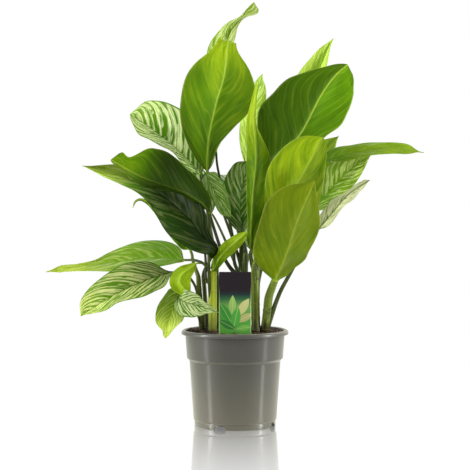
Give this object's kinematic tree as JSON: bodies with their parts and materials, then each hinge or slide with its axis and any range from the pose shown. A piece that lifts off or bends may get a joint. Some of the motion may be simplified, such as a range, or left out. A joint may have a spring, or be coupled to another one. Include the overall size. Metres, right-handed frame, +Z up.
{
  "type": "potted chinese evergreen",
  "caption": "Striped chinese evergreen with several shoots and broad lance-shaped leaves, growing in soil in a grey-green nursery pot with a plain plant card.",
  "frame": {"origin": "centre of the pot's base, on the surface it stands on", "axes": "+Z up along the pot's axis, -Y towards the side with the plant card"},
  "size_m": [0.6024, 0.3408, 0.6695],
  "materials": {
    "pot_plastic": "satin grey-green injection-moulded plastic",
    "soil": "dark crumbly potting soil",
    "card": "printed plastic card, dark above and green below",
    "stem": "smooth living stem, yellow-green",
    "striped_leaf": "living leaf, satin, dark green with pale stripes along the side veins",
    "plain_leaf": "living leaf, satin, its plain green lower face outward"
  },
  "bodies": {
    "root": {"cane_back": "stem", "cane_back_right": "stem", "cane_centre": "stem", "cane_front": "stem", "cane_front_inner": "stem", "cane_left": "stem", "cane_left_inner": "stem", "cane_middle": "stem", "cane_right": "stem", "leaf_broad_right": "plain_leaf", "leaf_drooping_inner": "striped_leaf", "leaf_front_middle": "plain_leaf", "leaf_front_right": "plain_leaf", "leaf_hanging_left": "striped_leaf", "leaf_hooked_left": "plain_leaf", "leaf_inner": "striped_leaf", "leaf_long_left": "striped_leaf", "leaf_long_right": "striped_leaf", "leaf_low_left": "striped_leaf", "leaf_lower_left": "striped_leaf", "leaf_narrow_middle": "plain_leaf", "leaf_olive_right": "plain_leaf", "leaf_pale_behind": "striped_leaf", "leaf_pointed_back": "striped_leaf", "leaf_rear_left": "striped_leaf", "leaf_rear_low": "striped_leaf", "leaf_rear_lowest": "striped_leaf", "leaf_rear_middle": "striped_leaf", "leaf_rear_right": "striped_leaf", "leaf_rear_upper_left": "striped_leaf", "leaf_rear_upper_right": "striped_leaf", "leaf_shaded_left": "plain_leaf", "leaf_small_folded": "plain_leaf", "leaf_small_striped": "striped_leaf", "leaf_striped_right": "striped_leaf", "leaf_tall_back": "striped_leaf", "leaf_tall_front": "plain_leaf", "leaf_tip_behind": "striped_leaf", "leaf_upper_left": "striped_leaf", "leaf_young_front": "plain_leaf", "plant_card": "card", "pot": "pot_plastic", "soil": "soil"}
  },
  "joints": []
}
